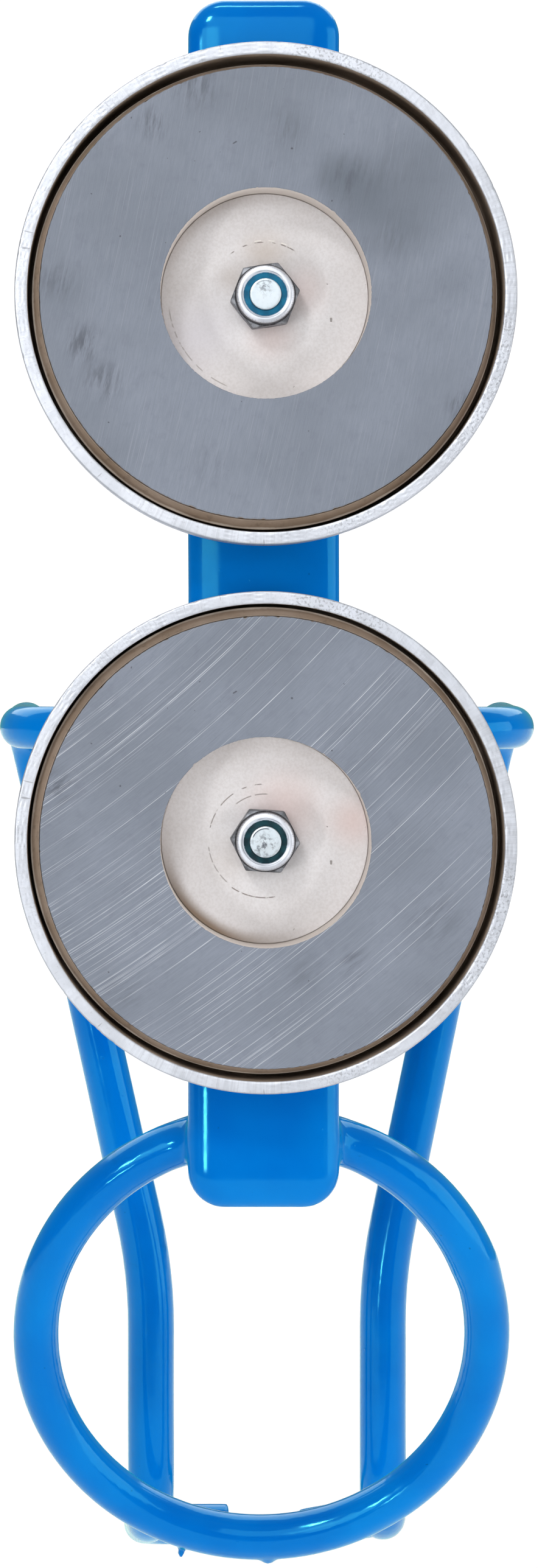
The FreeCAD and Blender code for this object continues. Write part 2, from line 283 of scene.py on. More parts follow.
class Paint:
    """A node material whose patterns follow the piece's own coordinates, in metres."""

    def __init__(self, name):
        self.material = bpy.data.materials.new(name)
        self.material.use_nodes = True
        self.tree = self.material.node_tree
        self.shader = self.tree.nodes["Principled BSDF"]
        self.place = self.add("ShaderNodeTexCoord").outputs["Object"]

    def add(self, kind, **settings):
        node = self.tree.nodes.new(kind)
        for key, value in settings.items():
            setattr(node, key, value)
        return node

    def feed(self, socket, value):
        if isinstance(value, bpy.types.NodeSocket):
            self.tree.links.new(value, socket)
        elif socket.type == "RGBA" and len(value) == 3:
            socket.default_value = (*value, 1)
        else:
            socket.default_value = value

    def set(self, **values):
        for name, value in values.items():
            self.feed(self.shader.inputs[name.replace("_", " ")], value)

    def sums(self, operation, *values):
        node = self.add("ShaderNodeMath", operation=operation)
        for socket, value in zip(node.inputs, values):
            self.feed(socket, value)
        return node.outputs[0]

    def product(self, first, *others):
        """All the values multiplied together."""
        for other in others:
            first = self.sums("MULTIPLY", first, other)
        return first

    def vector(self, operation, *values):
        node = self.add("ShaderNodeVectorMath", operation=operation)
        for socket, value in zip(node.inputs, values):
            self.feed(socket, value)
        return node.outputs["Value" if operation in ("LENGTH", "DISTANCE") else "Vector"]

    def split(self, vector):
        node = self.add("ShaderNodeSeparateXYZ")
        self.feed(node.inputs[0], vector)
        return node.outputs

    def join(self, x, y, z):
        node = self.add("ShaderNodeCombineXYZ")
        for socket, value in zip(node.inputs, (x, y, z)):
            self.feed(socket, value)
        return node.outputs[0]

    def noise(self, scale, detail=2.0, roughness=0.5, vector=None, distortion=0.0):
        node = self.add("ShaderNodeTexNoise")
        self.feed(node.inputs["Vector"], vector or self.place)
        for name, value in (("Scale", scale), ("Detail", detail), ("Roughness", roughness),
                            ("Distortion", distortion)):
            node.inputs[name].default_value = value
        return node.outputs["Fac"]

    def fade(self, value, start, end, low=0.0, high=1.0):
        """Runs smoothly from low to high as value goes from start to end."""
        node = self.add("ShaderNodeMapRange", interpolation_type="SMOOTHSTEP")
        for socket, number in zip(node.inputs, (value, start, end, low, high)):
            self.feed(socket, number)
        return node.outputs[0]

    def mix(self, share, first, second):
        node = self.add("ShaderNodeMix", data_type="RGBA")
        factor, first_colour, second_colour = (node.inputs[index] for index in (0, 6, 7))
        self.feed(factor, share)
        self.feed(first_colour, first)
        self.feed(second_colour, second)
        return node.outputs[2]

    def stain(self, colour, tone, *shares):
        """The colour turned towards tone by the product of the shares."""
        return self.mix(self.product(*shares), colour, tone)

    def bump(self, height, distance, strength=1.0, normal=None):
        node = self.add("ShaderNodeBump")
        node.inputs["Strength"].default_value = strength
        node.inputs["Distance"].default_value = distance
        self.feed(node.inputs["Height"], height)
        if normal:
            self.feed(node.inputs["Normal"], normal)
        return node.outputs[0]

    def flat(self):
        """The place with its depth left out."""
        x, _, z = self.split(self.place)
        return self.join(x, 0.0, z)

    def from_axis(self):
        """Distance from the bolt axis, in metres."""
        return self.vector("LENGTH", self.flat())

    def turn(self, vector=None):
        """The angle round the axis in radians, from 0 at +X to a quarter turn at +Z."""
        x, _, z = self.split(vector or self.place)
        return self.sums("ARCTAN2", z, x)

    def gap(self, value, target):
        return self.sums("ABSOLUTE", self.sums("SUBTRACT", value, target))

    def near(self, x, z, radius):
        """1 at a place on the magnet's face, fading to 0 at radius, in millimetres."""
        away = self.vector("DISTANCE", self.flat(), (x * MM, 0, z * MM))
        return self.fade(away, radius * MM, 0.0)

    def outwards(self, start, end):
        """Runs from 0 to 1 between two distances from the bolt axis, in millimetres."""
        return self.fade(self.from_axis(), start * MM, end * MM)

    def downwards(self, start, end):
        """Runs from 0 to 1 between two depths, in millimetres."""
        _, depth, _ = self.split(self.place)
        return self.fade(depth, start * MM, end * MM)

    def circle(self, radius, outer, inner):
        """1 within inner of a circle about the bolt axis, 0 beyond outer, in millimetres."""
        return self.fade(self.gap(self.from_axis(), radius * MM), outer * MM, inner * MM)

    def sector(self, start, end, soft):
        """1 between two angles, in degrees, fading to 0 over the last soft degrees of each end."""
        off = self.gap(self.turn(), math.radians((start + end) / 2))
        half = (end - start) / 2
        return self.fade(off, math.radians(half), math.radians(half - soft))

    def spokes(self, across, along):
        """Coordinates that run outwards and round the bolt axis, for marks across a ring."""
        return self.join(self.product(self.from_axis(), across),
                         self.product(self.turn(), along * CUP_R * MM), 0.0)

    def arcs(self, centre, across, along):
        """Coordinates that run across and along arcs about a far centre, for long fine lines."""
        centre_x, centre_z = centre
        offset = self.vector("SUBTRACT", self.flat(), (centre_x * MM, 0, centre_z * MM))
        radius = math.hypot(centre_x, centre_z) * MM
        return self.join(self.product(self.vector("LENGTH", offset), across),
                         self.product(self.turn(offset), along * radius), 0.0)


def srgb(red, green, blue):
    """A display colour, 0 to 255, as the linear colour that nodes use."""
    return tuple(c / 12.92 if c <= 0.04045 else ((c + 0.055) / 1.055) ** 2.4
                 for c in (red / 255, green / 255, blue / 255))


def vinyl_paint():
    """Glossy plastisol: faintly clouded, smudged, specked and pitted, with a blue-green sheen."""
    paint = Paint("blue_vinyl")
    cloud = paint.fade(paint.noise(38, 3), 0.35, 0.65)
    colour = paint.mix(cloud, srgb(0, 102, 194), srgb(0, 116, 205))
    smudge = paint.fade(paint.noise(70, 5, 0.6, distortion=0.6), 0.66, 0.78)
    colour = paint.stain(colour, srgb(0, 62, 120), smudge, 0.45)
    speck = paint.fade(paint.noise(900, 1), 0.79, 0.83)
    colour = paint.stain(colour, srgb(0, 60, 110), speck, 0.5)
    haze = paint.fade(paint.noise(220, 4), 0.4, 0.8, 0.10, 0.18)
    peel = paint.bump(paint.noise(260, 2), 0.00006, 0.35)
    pits = paint.bump(paint.fade(paint.noise(650, 1), 0.78, 0.84), 0.00008, 0.6, peel)
    paint.set(Base_Color=colour, Roughness=haze, Normal=pits)
    paint.set(Specular_IOR_Level=0.5, Specular_Tint=(0.13, 1.0, 1.0, 1))
    paint.set(Sheen_Weight=0.25, Sheen_Roughness=0.45, Sheen_Tint=(0.0, 1.0, 0.35, 1))
    return paint.material


def plate(paint, bright, dull, roughness, grain):
    """Zinc plate: sets its gloss and grit, and returns its clouded and flecked colour."""
    cloud = paint.fade(paint.noise(110, 4, 0.6), 0.35, 0.7)
    colour = paint.mix(cloud, bright, dull)
    grit = paint.noise(grain, 3, 0.7)
    rough = paint.fade(paint.noise(400, 4), 0.3, 0.7, roughness - 0.08, roughness + 0.10)
    paint.set(Metallic=1.0, Roughness=rough, Normal=paint.bump(grit, 0.00003, 0.5))
    return paint.stain(colour, srgb(120, 122, 126), paint.fade(grit, 0.62, 0.72), 0.35)


def washer_paint(name):
    paint = Paint(name)
    paint.set(Base_Color=plate(paint, srgb(226, 229, 234), srgb(196, 200, 206), 0.24, 2200))
    return paint.material


def bolt_paint(name, smudge, arc):
    """Zinc plate whose sheared end is smudged off centre and scored by an arc near its edge."""
    paint = Paint(name)
    colour = plate(paint, srgb(214, 223, 229), srgb(196, 207, 214), 0.55, 1800)
    x, z, radius, share = smudge
    torn = paint.fade(paint.noise(1100, 5, 0.75, distortion=0.3), 0.46, 0.60)
    colour = paint.stain(colour, srgb(104, 108, 116), torn, paint.near(x, z, radius), share)
    radius, start, end, share = arc
    score = paint.product(paint.circle(radius, 0.13, 0.04), paint.sector(start, end, 12))
    colour = paint.stain(colour, srgb(100, 106, 116), score, share)
    paint.set(Base_Color=colour)
    return paint.material


def nut_paint(name):
    """The lock nut: a clean rolled collar, painted shade in the groove and on the corners round it,
    and a thin painted shade ring inside the collar.
    """
    paint = Paint(name)
    cloud = paint.fade(paint.noise(300, 4, 0.6), 0.35, 0.7)
    colour = paint.mix(cloud, srgb(228, 232, 240), srgb(202, 206, 214))
    # Painted shade: the hexagon round the collar is darkened, more in some places than others.
    corner = paint.outwards(COLLAR_R - 0.02, COLLAR_R + 0.10)
    wear_and_shade = paint.fade(paint.noise(600, 3), 0.45, 0.62, 0.92, 0.55)
    colour = paint.stain(colour, srgb(84, 86, 90), corner, wear_and_shade)
    # Painted shade: a dark ring in the groove at the collar's foot.
    colour = paint.stain(colour, srgb(42, 42, 46), paint.circle(COLLAR_R + 0.06, 0.22, 0.06), 0.85)
    rolled = paint.fade(paint.noise(1.0, 2, 0.5, paint.spokes(900, 700)), 0.52, 0.66)
    outer = paint.outwards(COLLAR_R - 0.55, COLLAR_R - 0.1)
    colour = paint.stain(colour, srgb(120, 124, 132), rolled, outer, 0.6)
    # Painted shade: a thin dark ring on the collar's inner slope, a little out from its mouth.
    broken_lip_shade = paint.fade(paint.noise(260, 3), 0.42, 0.55)
    lip = paint.circle(COLLAR_MOUTH_R + 0.5, 0.10, 0.03)
    colour = paint.stain(colour, srgb(110, 114, 122), lip, broken_lip_shade, 0.7)
    paint.set(Base_Color=colour, Metallic=1.0,
              Roughness=paint.fade(paint.noise(500, 3), 0.3, 0.7, 0.46, 0.6),
              Normal=paint.bump(paint.noise(900, 2), 0.00002, 0.3))
    return paint.material


def rim_colour(paint, cloud, grit, shear):
    """Sheared steel: gritty, scored and torn across the rim, pitted in patches, burred outside."""
    colour = paint.mix(cloud, srgb(217, 221, 229), srgb(200, 204, 212))
    colour = paint.stain(colour, srgb(150, 152, 158), paint.fade(grit, 0.58, 0.70), 0.35)
    sheared = paint.fade(paint.noise(45, 2), 0.42, 0.62, 0.06, 0.30)
    colour = paint.stain(colour, srgb(160, 163, 170), paint.fade(shear, 0.42, 0.66), sheared)
    tear = paint.fade(paint.noise(1.0, 1, 0.5, paint.spokes(240, 1500)), 0.72, 0.77)
    colour = paint.stain(colour, srgb(112, 112, 116), tear, 0.5)
    elsewhere = paint.vector("ADD", paint.place, (0.3, 0.1, 0.7))
    pitted = paint.fade(paint.noise(30, 1, vector=elsewhere), 0.5, 0.6)
    pit = paint.fade(paint.noise(2300, 2, 0.6), 0.52, 0.62)
    colour = paint.stain(colour, srgb(136, 138, 144), pit, pitted, 0.5)
    return paint.stain(colour, srgb(140, 143, 150), paint.outwards(CUP_R - 0.30, CUP_R - 0.08), 0.5)


def cup_paint(name):
    """The pot: plated steel, sheared bright at its rim and darker down inside."""
    paint = Paint(name)
    cloud = paint.fade(paint.noise(130, 4, 0.6), 0.3, 0.7)
    grit = paint.noise(1500, 4, 0.75)
    shear = paint.noise(1.0, 3, 0.7, paint.spokes(90, 2600))
    rim = rim_colour(paint, cloud, grit, shear)
    wall = paint.mix(cloud, srgb(184, 168, 152), srgb(148, 133, 118))
    down = paint.product(paint.outwards(CUP_INNER_R + 0.15, CUP_INNER_R), paint.downwards(0.2, 0.6),
                         paint.downwards(CUP_HEIGHT - 0.8, CUP_HEIGHT - 1.4))
    paint.set(Base_Color=paint.mix(down, rim, wall),
              Metallic=paint.sums("SUBTRACT", 0.85, paint.product(down, 0.6)),
              Roughness=paint.fade(paint.noise(500, 3), 0.3, 0.7, 0.48, 0.62),
              Normal=paint.bump(paint.sums("ADD", grit, shear), 0.00004, 0.6))
    return paint.material


def ferrite_paint(name, centre, line_tone, line_share, line_run, scuffs, shadows):
    """Ground ferrite: fine arcs left by the grinding wheel, and dark rubbed patches."""
    paint = Paint(name)
    tone = paint.fade(paint.noise(45, 3), 0.35, 0.65)
    colour = paint.mix(tone, srgb(121, 128, 140), srgb(131, 138, 151))
    fine = paint.noise(1.0, 4, 0.75, paint.arcs(centre, 4200, 260))
    colour = paint.stain(colour, srgb(100, 107, 119), paint.fade(fine, 0.35, 0.65), 0.26)
    mottle = paint.noise(420, 5, 0.65)
    colour = paint.stain(colour, srgb(106, 110, 124), paint.fade(mottle, 0.5, 0.75), 0.3)
    ground = paint.noise(1.0, 2, 0.5, paint.arcs(centre, 6200, line_run))
    dark_line = paint.fade(ground, 0.36, 0.28)
    colour = paint.stain(colour, srgb(88, 93, 104), dark_line, line_share * 0.5)
    broken = paint.fade(paint.noise(160, 2), 0.36, 0.56, 0.4, 1.0)
    line = paint.product(paint.fade(ground, 0.615, 0.68), broken, line_share)
    colour = paint.mix(line, colour, line_tone)
    for x, z, radius, share in shadows:
        colour = paint.stain(colour, srgb(84, 92, 102), paint.near(x, z, radius), share)
    streak = paint.fade(paint.noise(1.0, 4, 0.7, paint.arcs(centre, 900, 120)), 0.42, 0.62)
    for x, z, radius, share in scuffs:
        colour = paint.stain(colour, srgb(78, 82, 92), paint.near(x, z, radius), streak, share)
    speck = paint.fade(paint.noise(1100, 1), 0.80, 0.83)
    colour = paint.stain(colour, srgb(60, 62, 70), speck, 0.7)
    coat = paint.mix(paint.outwards(20, 30), srgb(205, 196, 189), srgb(160, 146, 134))
    colour = paint.mix(paint.downwards(FERRITE_FACE + 0.03, FERRITE_FACE + 0.25), colour, coat)
    height = paint.sums("ADD", fine, paint.product(line, 1.5))
    paint.set(Base_Color=colour, Roughness=paint.fade(paint.noise(300, 3), 0.3, 0.7, 0.5, 0.66),
              Specular_IOR_Level=0.35, Normal=paint.bump(height, 0.00002, 0.6))
    return paint.material


def resin_paint(name):
    """Tan resin, grimed, with a painted highlight: a lighter band round its outer edge, a little
    below its face.
    """
    paint = Paint(name)
    cloud = paint.fade(paint.noise(90, 4), 0.35, 0.65)
    colour = paint.mix(cloud, srgb(136, 118, 101), srgb(152, 136, 122))
    grime_and_shade = paint.fade(paint.noise(500, 4, 0.7), 0.55, 0.75)
    colour = paint.stain(colour, srgb(92, 78, 66), grime_and_shade, 0.5)
    # Painted highlight: a lighter band on the rounded outer edge.
    band = paint.product(paint.downwards(RESIN_FACE + 1.1, RESIN_FACE + 1.35),
                         paint.downwards(RESIN_FACE + 2.2, RESIN_FACE + 1.7))
    colour = paint.stain(colour, srgb(214, 206, 196), band, 0.8)
    paint.set(Base_Color=colour, Roughness=0.55,
              Normal=paint.bump(paint.noise(900, 3), 0.00006, 0.7))
    return paint.material


def plug_paint(name, marks, tints, grime_and_shade):
    """Cream plastic with ring marks from the socket that drove the nut, faint stains, tints round
    the nut that are partly painted shade, and painted shade on its edge.
    """
    paint = Paint(name)
    cloud = paint.fade(paint.noise(75, 4), 0.3, 0.7)
    colour = paint.mix(cloud, srgb(232, 230, 232), srgb(223, 220, 221))
    grain = paint.noise(2600, 2)
    colour = paint.stain(colour, srgb(160, 150, 142), paint.fade(grain, 0.35, 0.7), 0.14)
    # Tints round the nut are partly stains and partly painted shade from the nut.
    for x, z, radius, share, tint in tints:
        colour = paint.stain(colour, tint, paint.near(x, z, radius), share)
    # Painted shade: the plug's edge darkened on the side towards x, z.
    edge = paint.outwards(PLUG_R - 2.4, PLUG_R - 0.1)
    x, z, radius, share = grime_and_shade
    colour = paint.stain(colour, srgb(140, 122, 106), edge, paint.near(x, z, radius), share)
    broken = paint.fade(paint.noise(700, 3), 0.40, 0.50)
    for radius, start, end, share, tone in marks:
        reached = paint.sector(start, end, 0.15 * (end - start) / 2)
        mark = paint.product(paint.circle(radius, 0.14, 0.04), reached, broken)
        colour = paint.stain(colour, tone, mark, share)
    speck = paint.fade(paint.noise(800, 1), 0.80, 0.83)
    colour = paint.stain(colour, srgb(96, 86, 80), speck, 0.7)
    paint.set(Base_Color=colour, Roughness=paint.fade(paint.noise(350, 3), 0.3, 0.7, 0.42, 0.6),
              Normal=paint.bump(grain, 0.00003, 0.5))
    return paint.material


def nylon_paint(name, light, dark):
    paint = Paint(name)
    colour = paint.mix(paint.fade(paint.noise(700, 3), 0.35, 0.65), light, dark)
    paint.set(Base_Color=colour, Roughness=paint.fade(paint.noise(900, 2), 0.3, 0.7, 0.28, 0.42),
              Specular_IOR_Level=0.3, Normal=paint.bump(paint.noise(1500, 2), 0.00002, 0.5))
    return paint.material


def steel_paint(name, light, dark, roughness):
    """Steel under the skin: drawn rod, bar and weld metal."""
    paint = Paint(name)
    colour = paint.mix(paint.fade(paint.noise(160, 5, 0.65), 0.3, 0.7), light, dark)
    rough = paint.fade(paint.noise(420, 4), 0.3, 0.7, roughness - 0.08, roughness + 0.08)
    paint.set(Base_Color=colour, Metallic=1.0, Roughness=rough,
              Normal=paint.bump(paint.noise(800, 4), 0.00004, 0.6))
    return paint.material


# --- vinyl skin ----------------------------------------------------------------------------
SKIN_VOXEL = 0.5
SKIN_REACH = 6.0
STRIP_COAT = 1.2
CROWN_ACROSS_POWER = 4.5
CROWN_THROUGH_POWER = 2.2
STRIP_CORNER_R = 6.0
RING_COAT = 0.78
RING_RUN_COAT = 0.30
CAGE_COAT = 0.55
CAGE_FRONT_COAT = 0.2
CAGE_RUN_COAT = 0.3
CAGE_TOE_COAT = -0.1
CAGE_RUN_LENGTH = 90
CAGE_ARMS_END = (40, 55)
CAGE_TOES = (72, 84)
BEAD_COAT = 0.7
BEAD_FILLET = 2.0
ROD_FILLET = 3.2
RING_DROPS = ((-13.4, 0.55), (1.4, 1.1))
DROP_FILLET = 1.2
DROP_STRETCH = 0.6
WAVES = 14
WAVE_HEIGHT = 0.035
SKIN_SEED = 5


def strip_skin(x, y, z):
    """The dipped strip: a slab whose faces fall away in a crown towards its rounded edge."""
    half = STRIP_HIGH[0] + STRIP_COAT
    top = STRIP_HIGH[2] + STRIP_COAT
    bottom = STRIP_LOW[2] - STRIP_COAT
    middle_y = (STRIP_LOW[1] + STRIP_HIGH[1]) / 2
    half_thickness = (STRIP_HIGH[1] - STRIP_LOW[1]) / 2 + STRIP_COAT
    over_x = np.abs(x) - half + STRIP_CORNER_R
    over_z = np.abs(z - (top + bottom) / 2) - (top - bottom) / 2 + STRIP_CORNER_R
    outline = (np.hypot(np.maximum(over_x, 0), np.maximum(over_z, 0))
               + np.minimum(np.maximum(over_x, over_z), 0) - STRIP_CORNER_R)
    across = np.clip(1 + outline / half, 0, None)
    through = np.abs(y - middle_y) / half_thickness
    value = across ** CROWN_ACROSS_POWER + through ** CROWN_THROUGH_POWER - 1
    slope = np.hypot(CROWN_ACROSS_POWER * across ** (CROWN_ACROSS_POWER - 1) / half,
                     CROWN_THROUGH_POWER * through ** (CROWN_THROUGH_POWER - 1) / half_thickness)
    least_slope = 0.3
    return value / np.maximum(slope, least_slope)


def cage_coat(y, z):
    """The cage's coat: thin along its bar, thicker where the vinyl ran down, thin at its toes."""
    front = ramp(y, *CAGE_ARMS_END)
    toe = ramp(y, *CAGE_TOES)
    run_down = ramp(z, CAGE_HIGH[2], CAGE_HIGH[2] - CAGE_RUN_LENGTH) * (1 - toe) * front
    return CAGE_COAT + CAGE_FRONT_COAT * front + CAGE_RUN_COAT * run_down + CAGE_TOE_COAT * toe


def ring_coat(x, z):
    """The ring's coat, heavier along the upper right where a run of vinyl set."""
    centre_z = (RING_LOW[2] + RING_HIGH[2]) / 2
    angle = np.degrees(np.arctan2(z - centre_z, x))
    run = ramp(angle, 14, 20) * ramp(angle, 80, 40)
    return RING_COAT + RING_RUN_COAT * run


def ring_drop(x, y, z, across, size):
    """A small drop that hangs from the bottom of the ring."""
    middle_y = RING_HIGH[1] - 3
    middle_z = RING_LOW[2] + 0.3
    down = (z - middle_z) * DROP_STRETCH
    return np.sqrt((x - across) ** 2 + (y - middle_y) ** 2 + down ** 2) - size


def dipped_skin(paint):
    """One blended coat round the strip, the ring, the cage and their welds."""
    margin = 3 * SKIN_VOXEL
    low = SKIN_LOW - margin
    high = SKIN_HIGH + margin
    x, y, z = lattice(low, high, SKIN_VOXEL)
    shape = np.broadcast_shapes(x.shape, y.shape, z.shape)
    skin = strip_skin(x, y, z).astype(np.float32)
    ring = steel_field("ring_rod", low, shape, SKIN_VOXEL, SKIN_REACH)
    ring -= ring_coat(x, z)
    cage = steel_field("cage_rod", low, shape, SKIN_VOXEL, SKIN_REACH) - cage_coat(y, z)
    skin = soft_union(skin, ring, ROD_FILLET)
    skin = soft_union(skin, cage, ROD_FILLET)
    for name in ("ring_weld_beads", "cage_weld_beads"):
        beads = steel_field(name, low, shape, SKIN_VOXEL, SKIN_REACH) - BEAD_COAT
        skin = soft_union(skin, beads, BEAD_FILLET)
    for across, size in RING_DROPS:
        skin = soft_union(skin, ring_drop(x, y, z, across, size), DROP_FILLET)
    for which in MAGNETS:
        skin = np.maximum(skin, HOLE_R - np.hypot(x, z - magnet_z(which)) + 0 * y)
    points, faces = field_mesh(skin, low, SKIN_VOXEL)
    rng = np.random.default_rng(SKIN_SEED)
    points = uneven(points, rng, WAVE_HEIGHT)
    points = np.clip(points, SKIN_LOW, SKIN_HIGH)
    piece = shaded_object("dipped_skin", points, faces, paint)
    stand_in_for(piece, "frame", "blue_vinyl", "vinyl_skin")


def uneven(points, rng, size):
    """Moves points by a smooth seeded wave, as a dipped coat varies in thickness."""
    shift = np.zeros_like(points)
    for _ in range(WAVES):
        direction = unit(rng.normal(size=3))
        length = rng.uniform(14, 40)
        start = rng.uniform(0, 2 * math.pi)
        wave = np.sin(points @ direction * (2 * math.pi / length) + start)
        shift += wave[:, None] * unit(rng.normal(size=3))
    return points + shift * size / math.sqrt(WAVES)


# --- magnets -------------------------------------------------------------------------------
MAGNET_SEED = {"upper": 20, "lower": 21}
CUP_SEGMENTS = 900
FERRITE_SEGMENTS = 1080
RESIN_SEGMENTS = 720
PLUG_SEGMENTS = 360
FERRITE_WORN = 1.6
FACE_ROW_STEP = 16
GAP_WIDEST = {"upper": math.radians(70), "lower": math.radians(-45)}
GAP_GROWTH = {"upper": 1.0, "lower": 0.7}


def pot_cup(which, z, paint, rng):
    """The steel pot, with a sheared rim that is nicked along both edges."""
    section = rounded_section([
        (CUP_R, 0, 0.3),
        (CUP_R, CUP_HEIGHT, 3.0),
        (HOLE_R, CUP_HEIGHT, 0.2),
        (HOLE_R, FLOOR, 0.2),
        (CUP_INNER_R, FLOOR, 1.0),
        (CUP_INNER_R, 0, 0.3),
    ])

    def wear_and_shade(radius, depth, angle):
        outer_nicks = chips(rng, angle, 70, 1.2, 0.35)
        inner_nicks = chips(rng, angle, 50, 0.9, 0.30)
        radius, depth = cut_corner(radius, depth, CUP_R, 0, 1, outer_nicks + 0.12)
        radius, depth = cut_corner(radius, depth, CUP_INNER_R, 0, -1, inner_nicks + 0.10)
        face = ramp(depth, 0.5, 0)
        sheared = 0.05 + 0.03 * ripple(rng, angle, 20, 200, 10) * np.sin(radius * 9)
        return radius, depth + face * np.clip(sheared, 0, 0.12)

    piece = spun_ring(which + "_cup_worn", section, CUP_SEGMENTS, paint, z, wear_and_shade)
    stand_in_for(piece, which + "_magnet", "plated_cup", which + "_pot_cup")


def ferrite(which, z, paint, rng):
    """The ferrite ring: finely divided only at its chipped edges, coarse across its flat face."""
    section = rounded_section([
        (FERRITE_R, FERRITE_FACE, 0),
        (FERRITE_R, FLOOR, 0.2),
        (FERRITE_HOLE_R, FLOOR, 0.2),
        (FERRITE_HOLE_R, FERRITE_FACE, 0),
    ], front_gap=0.16, front_depth=FERRITE_FACE + 2.5)
    keep = [index for index, (radius, depth) in enumerate(section)
            if depth > FERRITE_FACE + 0.01 or radius > FERRITE_R - FERRITE_WORN
            or radius < FERRITE_HOLE_R + FERRITE_WORN or index % FACE_ROW_STEP == 0]
    section = section[keep]

    def chipped(radius, depth, angle):
        outer = 0.20 + 0.05 * ripple(rng, angle, 30, 400, 20) + chips(rng, angle, 50, 1.0, 0.22)
        inner = 0.10 + 0.03 * ripple(rng, angle, 20, 180, 16) + chips(rng, angle, 24, 2.0, 0.22)
        outer = np.clip(outer, 0.04, 1.3)
        inner = np.clip(inner, 0.04, 0.9)
        radius, depth = cut_corner(radius, depth, FERRITE_R, FERRITE_FACE, 1, outer)
        return cut_corner(radius, depth, FERRITE_HOLE_R, FERRITE_FACE, -1, inner)

    piece = spun_ring(which + "_ferrite_ground", section, FERRITE_SEGMENTS, paint, z, chipped)
    stand_in_for(piece, which + "_magnet", "ferrite", which + "_ferrite_ring")


def potting(which, z, paint, rng):
    """The resin, whose outer edge draws in on one side, where the slit outside it is widest."""
    section = rounded_section([
        (FERRITE_R, RESIN_FACE, 0),
        (RESIN_R, RESIN_FACE + 1.5, 0.3),
        (RESIN_R, FLOOR - 1, 0.3),
        (RESIN_R - 0.3, FLOOR, 0),
        (FERRITE_R, FLOOR, 0),
    ])

    def poured(radius, depth, angle):
        front = ramp(depth, RESIN_FACE + 4, RESIN_FACE)
        wave = 0.07 * ripple(rng, angle, 3, 40, 12) + 0.03 * ripple(rng, angle, 60, 300, 10)
        away = ramp(radius, RESIN_R, RESIN_R - 0.3)
        outward = ramp(radius, FERRITE_R, RESIN_R)
        opened = GAP_GROWTH[which] * (1 + np.cos(angle - GAP_WIDEST[which])) / 2
        return radius - outward * opened, depth + front * away * wave

    piece = spun_ring(which + "_resin_band", section, RESIN_SEGMENTS, paint, z, poured)
    stand_in_for(piece, which + "_magnet", "potting_resin", which + "_potting_ring")


def plug(which, z, paint, rng):
    """The plastic disc at the bottom of the ferrite's hole, its face slightly uneven."""
    bore_r = BOLT_R + 0.05
    section = rounded_section([
        (PLUG_R, PLUG_FACE, 0.2),
        (PLUG_R, FLOOR, 0.1),
        (bore_r, FLOOR, 0.1),
        (bore_r, PLUG_FACE, 0.2),
    ], front_gap=0.5, front_depth=PLUG_FACE + 2)

    def moulded(radius, depth, angle):
        face = ramp(depth, PLUG_FACE + 0.3, PLUG_FACE)
        dish = 0.02 * np.clip(1 - ((radius - 11) / 5) ** 2, 0, 1)
        warp = 0.012 * ripple(rng, angle, 2, 9, 5) * np.sin(radius * 0.8)
        return radius, depth + face * (dish + warp)

    piece = spun_ring(which + "_plug_face", section, PLUG_SEGMENTS, paint, z, moulded)
    stand_in_for(piece, which + "_magnet", "cream_plastic", which + "_centre_plug")


# --- fasteners -----------------------------------------------------------------------------
NUT_VOXEL = 0.11
BOLT_VOXEL = 0.14
HEX_REACH = 6.2
HEX_MARGIN = 0.5
HEX_EDGE = 0.18
CHAMFER = math.radians(30)
NUT_TURN = {"upper": 8.7, "lower": -3.5}
PITCH = 1.0
THREAD_DEPTH = 0.30
POINT_STEP = 0.45
POINT_LENGTH = 1.25
FASTENER_SEGMENTS = 120


def round_axis(front, back, voxel):
    """The low corner and the sample points of a box round the bolt axis, between two depths."""
    low = np.array([-HEX_REACH, front - HEX_MARGIN, -HEX_REACH])
    high = np.array([HEX_REACH, back + HEX_MARGIN, HEX_REACH])
    return low, *lattice(low, high, voxel)


def hexagon_field(x, z, turn):
    """Distance outside a hexagon with a corner turned from +X."""
    distance = None
    for side in range(6):
        angle = math.radians(turn + 30 + 60 * side)
        plane = x * math.cos(angle) + z * math.sin(angle) - ACROSS_FLATS / 2
        distance = plane if distance is None else soft_cut(distance, plane, HEX_EDGE)
    return distance


def coned_hexagon(x, y, z, turn, front, back, cone_front, cone_back):
    """A hexagon between two depths whose corners are turned off by cones."""
    radius = np.hypot(x, z)
    distance = soft_cut(hexagon_field(x, z, turn), np.maximum(front - y, y - back), 0.2)
    over = (radius - ACROSS_FLATS / 2) * math.sin(CHAMFER)
    if cone_front:
        distance = soft_cut(distance, over - (y - front) * math.cos(CHAMFER), 0.12)
    if cone_back:
        distance = soft_cut(distance, over - (back - y) * math.cos(CHAMFER), 0.12)
    return distance


